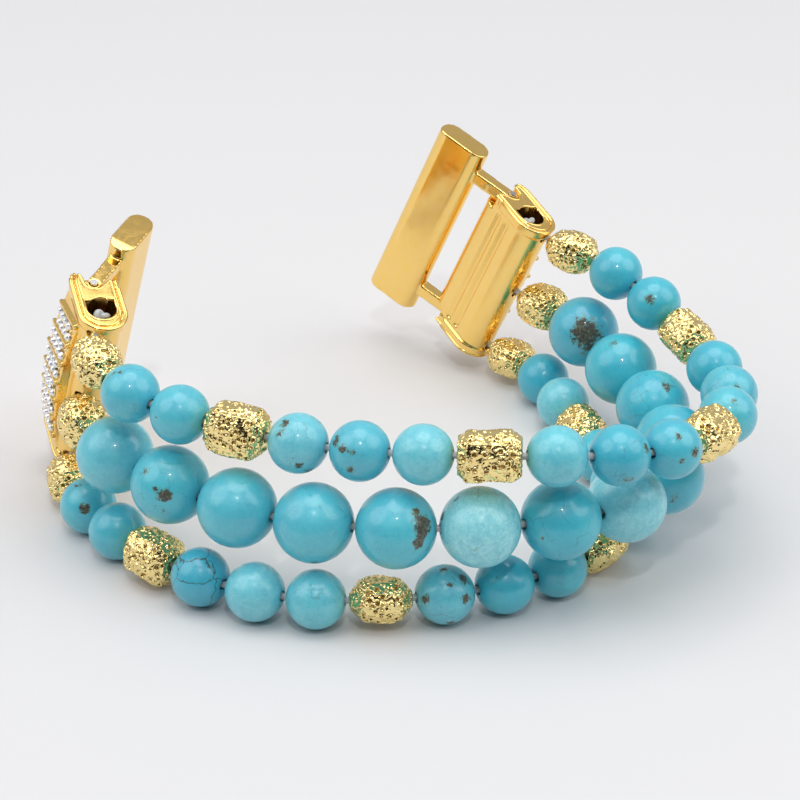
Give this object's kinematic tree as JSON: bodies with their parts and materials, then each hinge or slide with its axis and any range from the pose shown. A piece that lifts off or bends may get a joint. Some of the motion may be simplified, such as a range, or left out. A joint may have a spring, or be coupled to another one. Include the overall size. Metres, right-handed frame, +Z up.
{
  "type": "beaded stretch watch band",
  "caption": "Stretch watch band of turquoise beads and gold nuggets on elastic strands, with crystal-faced hinged connectors and slide-in lug adapters.",
  "frame": {"origin": "bottom centre of the band's box, on the table that the bottom strand lies on", "axes": "+Z up, +X to the right and +Y away from the viewer, who sees the front of the loop from -Y; the loop opens to the back left between the two connectors"},
  "size_m": [0.077, 0.0694, 0.0292],
  "materials": {
    "turquoise_large": "polished",
    "turquoise_small": "polished",
    "gold_nugget": "gold plated, porous and shiny",
    "gold_connector": "gold plated, polished",
    "gold_adapter": "gold plated, polished",
    "steel_bar": "plain",
    "rhinestone": "cut and foiled",
    "elastic_cord": "clear elastic"
  },
  "bodies": {
    "left_end": {"left_connector": "gold_connector", "left_rhinestones": "rhinestone", "left_bar_tube": "steel_bar", "left_bar_spring": "steel_bar", "top_nugget_1": "gold_nugget", "bottom_nugget_1": "gold_nugget", "middle_nugget_left": "gold_nugget", "top_cord": "elastic_cord", "middle_cord": "elastic_cord", "bottom_cord": "elastic_cord"},
    "stretch_1": {"small_beads_1": "turquoise_small"},
    "stretch_2": {"small_beads_2": "turquoise_small", "top_nugget_2": "gold_nugget", "bottom_nugget_2": "gold_nugget"},
    "stretch_3": {"small_beads_3": "turquoise_small"},
    "stretch_4": {"small_beads_4": "turquoise_small", "top_nugget_3": "gold_nugget", "bottom_nugget_3": "gold_nugget"},
    "stretch_5": {"small_beads_5": "turquoise_small"},
    "stretch_6": {"small_beads_6": "turquoise_small", "top_nugget_4": "gold_nugget", "bottom_nugget_4": "gold_nugget"},
    "stretch_7": {"small_beads_7": "turquoise_small"},
    "stretch_8": {"small_beads_8": "turquoise_small", "top_nugget_5": "gold_nugget", "bottom_nugget_5": "gold_nugget"},
    "stretch_9": {"small_beads_9": "turquoise_small"},
    "right_end": {"top_nugget_6": "gold_nugget", "bottom_nugget_6": "gold_nugget", "middle_nugget_right": "gold_nugget", "right_connector": "gold_connector", "right_rhinestones": "rhinestone", "right_bar_tube": "steel_bar", "right_bar_spring": "steel_bar"},
    "large_bead_1": {"large_bead_1": "turquoise_large"},
    "large_bead_2": {"large_bead_2": "turquoise_large"},
    "large_bead_3": {"large_bead_3": "turquoise_large"},
    "large_bead_4": {"large_bead_4": "turquoise_large"},
    "large_bead_5": {"large_bead_5": "turquoise_large"},
    "large_bead_6": {"large_bead_6": "turquoise_large"},
    "large_bead_7": {"large_bead_7": "turquoise_large"},
    "large_bead_8": {"large_bead_8": "turquoise_large"},
    "large_bead_9": {"large_bead_9": "turquoise_large"},
    "large_bead_10": {"large_bead_10": "turquoise_large"},
    "large_bead_11": {"large_bead_11": "turquoise_large"},
    "large_bead_12": {"large_bead_12": "turquoise_large"},
    "large_bead_13": {"large_bead_13": "turquoise_large"},
    "left_adapter": {"left_adapter": "gold_adapter"},
    "left_latch": {"left_latch": "gold_adapter"},
    "left_tip_top": {"left_tip_top": "steel_bar"},
    "left_tip_bottom": {"left_tip_bottom": "steel_bar"},
    "right_adapter": {"right_adapter": "gold_adapter"},
    "right_latch": {"right_latch": "gold_adapter"},
    "right_tip_top": {"right_tip_top": "steel_bar"},
    "right_tip_bottom": {"right_tip_bottom": "steel_bar"}
  },
  "joints": [
    {"name": "bend_1", "type": "hinge", "parent": "left_end", "child": "stretch_1", "pos_m": [-0.03089, -0.01362, 0.0111], "axis": [0.2734, -0.2826, 0.9195], "range_deg": [-30, 3], "deforming": ["top_cord", "middle_cord", "bottom_cord"]},
    {"name": "stretch_1", "type": "slide", "parent": "stretch_1", "child": "stretch_2", "axis": [0.743, -0.6682, -0.037], "range_m": [0, 0.005], "stiffness_N_per_m": 800, "springref_m": -0.0005},
    {"name": "bend_2", "type": "hinge", "parent": "stretch_2", "child": "stretch_3", "pos_m": [-0.0111, -0.02828, 0.01034], "axis": [0.5429, 0.1177, 0.8315], "range_deg": [-25, 12]},
    {"name": "stretch_2", "type": "slide", "parent": "stretch_3", "child": "stretch_4", "axis": [0.9844, -0.1736, 0.027], "range_m": [0, 0.005], "stiffness_N_per_m": 800, "springref_m": -0.0005},
    {"name": "bend_3", "type": "hinge", "parent": "stretch_4", "child": "stretch_5", "pos_m": [0.01361, -0.03007, 0.01071], "axis": [0.5303, -0.0202, 0.8476], "range_deg": [-25, 10]},
    {"name": "bend_4", "type": "hinge", "parent": "stretch_5", "child": "stretch_6", "pos_m": [0.02008, -0.02772, 0.01026], "axis": [0.5507, -0.0647, 0.8322], "range_deg": [-25, 5]},
    {"name": "stretch_3", "type": "slide", "parent": "stretch_6", "child": "stretch_7", "axis": [0.1908, 0.9794, -0.0661], "range_m": [0, 0.005], "stiffness_N_per_m": 800, "springref_m": -0.0005},
    {"name": "bend_5", "type": "hinge", "parent": "stretch_7", "child": "stretch_8", "pos_m": [0.02982, -0.00607, 0.00844], "axis": [0.7184, 0.053, 0.6937], "range_deg": [-25, 8]},
    {"name": "stretch_4", "type": "slide", "parent": "stretch_8", "child": "stretch_9", "axis": [-0.4415, 0.8899, 0.1147], "range_m": [0, 0.005], "stiffness_N_per_m": 800, "springref_m": -0.0005},
    {"name": "bend_6", "type": "hinge", "parent": "stretch_9", "child": "right_end", "pos_m": [0.02003, 0.01669, 0.01055], "axis": [0.4031, -0.175, 0.8983], "range_deg": [-30, 1]},
    {"name": "bead_1_spin", "type": "hinge", "parent": "stretch_1", "child": "large_bead_1", "pos_m": [-0.02806, -0.01669, 0.01091], "axis": [0.6776, -0.7341, -0.0456], "continuous": true},
    {"name": "bead_2_spin", "type": "hinge", "parent": "stretch_2", "child": "large_bead_2", "pos_m": [-0.02194, -0.02219, 0.01061], "axis": [0.803, -0.5953, -0.0279], "continuous": true},
    {"name": "bead_3_spin", "type": "hinge", "parent": "stretch_2", "child": "large_bead_3", "pos_m": [-0.01496, -0.02643, 0.01041], "axis": [0.8992, -0.4371, -0.0186], "continuous": true},
    {"name": "bead_4_spin", "type": "hinge", "parent": "stretch_3", "child": "large_bead_4", "pos_m": [-0.00732, -0.0293, 0.01044], "axis": [0.9642, -0.264, 0.0252], "continuous": true},
    {"name": "bead_5_spin", "type": "hinge", "parent": "stretch_4", "child": "large_bead_5", "pos_m": [0.00072, -0.03072, 0.01066], "axis": [0.9962, -0.0818, 0.0286], "continuous": true},
    {"name": "bead_6_spin", "type": "hinge", "parent": "stretch_4", "child": "large_bead_6", "pos_m": [0.00889, -0.03063, 0.01075], "axis": [0.9946, 0.1035, -0.0065], "continuous": true},
    {"name": "bead_7_spin", "type": "hinge", "parent": "stretch_5", "child": "large_bead_7", "pos_m": [0.01683, -0.02879, 0.01046], "axis": [0.9367, 0.3441, -0.0642], "continuous": true},
    {"name": "bead_8_spin", "type": "hinge", "parent": "stretch_6", "child": "large_bead_8", "pos_m": [0.02369, -0.02453, 0.00985], "axis": [0.7237, 0.6851, -0.0833], "continuous": true},
    {"name": "bead_9_spin", "type": "hinge", "parent": "stretch_6", "child": "large_bead_9", "pos_m": [0.02829, -0.01789, 0.00916], "axis": [0.387, 0.9183, -0.083], "continuous": true},
    {"name": "bead_10_spin", "type": "hinge", "parent": "stretch_7", "child": "large_bead_10", "pos_m": [0.02983, -0.00997, 0.00863], "axis": [-0.0147, 0.9988, -0.0462], "continuous": true},
    {"name": "bead_11_spin", "type": "hinge", "parent": "stretch_8", "child": "large_bead_11", "pos_m": [0.02855, -0.00193, 0.00855], "axis": [-0.2974, 0.9544, 0.0259], "continuous": true},
    {"name": "bead_12_spin", "type": "hinge", "parent": "stretch_8", "child": "large_bead_12", "pos_m": [0.02572, 0.00572, 0.00919], "axis": [-0.3927, 0.9102, 0.1318], "continuous": true},
    {"name": "bead_13_spin", "type": "hinge", "parent": "stretch_9", "child": "large_bead_13", "pos_m": [0.02207, 0.01307, 0.01014], "axis": [-0.4881, 0.8673, 0.0976], "continuous": true},
    {"name": "left_adapter_fold", "type": "hinge", "parent": "left_end", "child": "left_adapter", "pos_m": [-0.03348, -0.00022, 0.01419], "axis": [-0.232, 0.2952, -0.9268], "range_deg": [-49, 5]},
    {"name": "left_latch_press", "type": "slide", "parent": "left_adapter", "child": "left_latch", "axis": [0.8916, -0.3164, -0.3239], "range_m": [0, 0.0004], "stiffness_N_per_m": 200, "springref_m": -0.0005},
    {"name": "left_tip_top_press", "type": "slide", "parent": "left_end", "child": "left_tip_top", "axis": [-0.232, 0.2952, -0.9268], "range_m": [0, 0.0018], "stiffness_N_per_m": 300, "springref_m": -0.001, "deforming": ["left_bar_spring"]},
    {"name": "left_tip_bottom_press", "type": "slide", "parent": "left_end", "child": "left_tip_bottom", "axis": [0.232, -0.2952, 0.9268], "range_m": [0, 0.0018], "stiffness_N_per_m": 300, "springref_m": -0.001},
    {"name": "right_adapter_fold", "type": "hinge", "parent": "right_end", "child": "right_adapter", "pos_m": [0.01073, 0.02602, 0.01366], "axis": [0.3514, -0.2108, 0.9122], "range_deg": [-30, 24]},
    {"name": "right_latch_press", "type": "slide", "parent": "right_adapter", "child": "right_latch", "axis": [-0.5227, -0.8525, 0.0043], "range_m": [0, 0.0004], "stiffness_N_per_m": 200, "springref_m": -0.0005},
    {"name": "right_tip_top_press", "type": "slide", "parent": "right_end", "child": "right_tip_top", "axis": [-0.3514, 0.2108, -0.9122], "range_m": [0, 0.0018], "stiffness_N_per_m": 300, "springref_m": -0.001, "deforming": ["right_bar_spring"]},
    {"name": "right_tip_bottom_press", "type": "slide", "parent": "right_end", "child": "right_tip_bottom", "axis": [0.3514, -0.2108, 0.9122], "range_m": [0, 0.0018], "stiffness_N_per_m": 300, "springref_m": -0.001}
  ],
  "couplings": [
    {"joint": "stretch_2", "follows": "stretch_1", "ratio": 1},
    {"joint": "stretch_3", "follows": "stretch_1", "ratio": 1},
    {"joint": "stretch_4", "follows": "stretch_1", "ratio": 1}
  ]
}
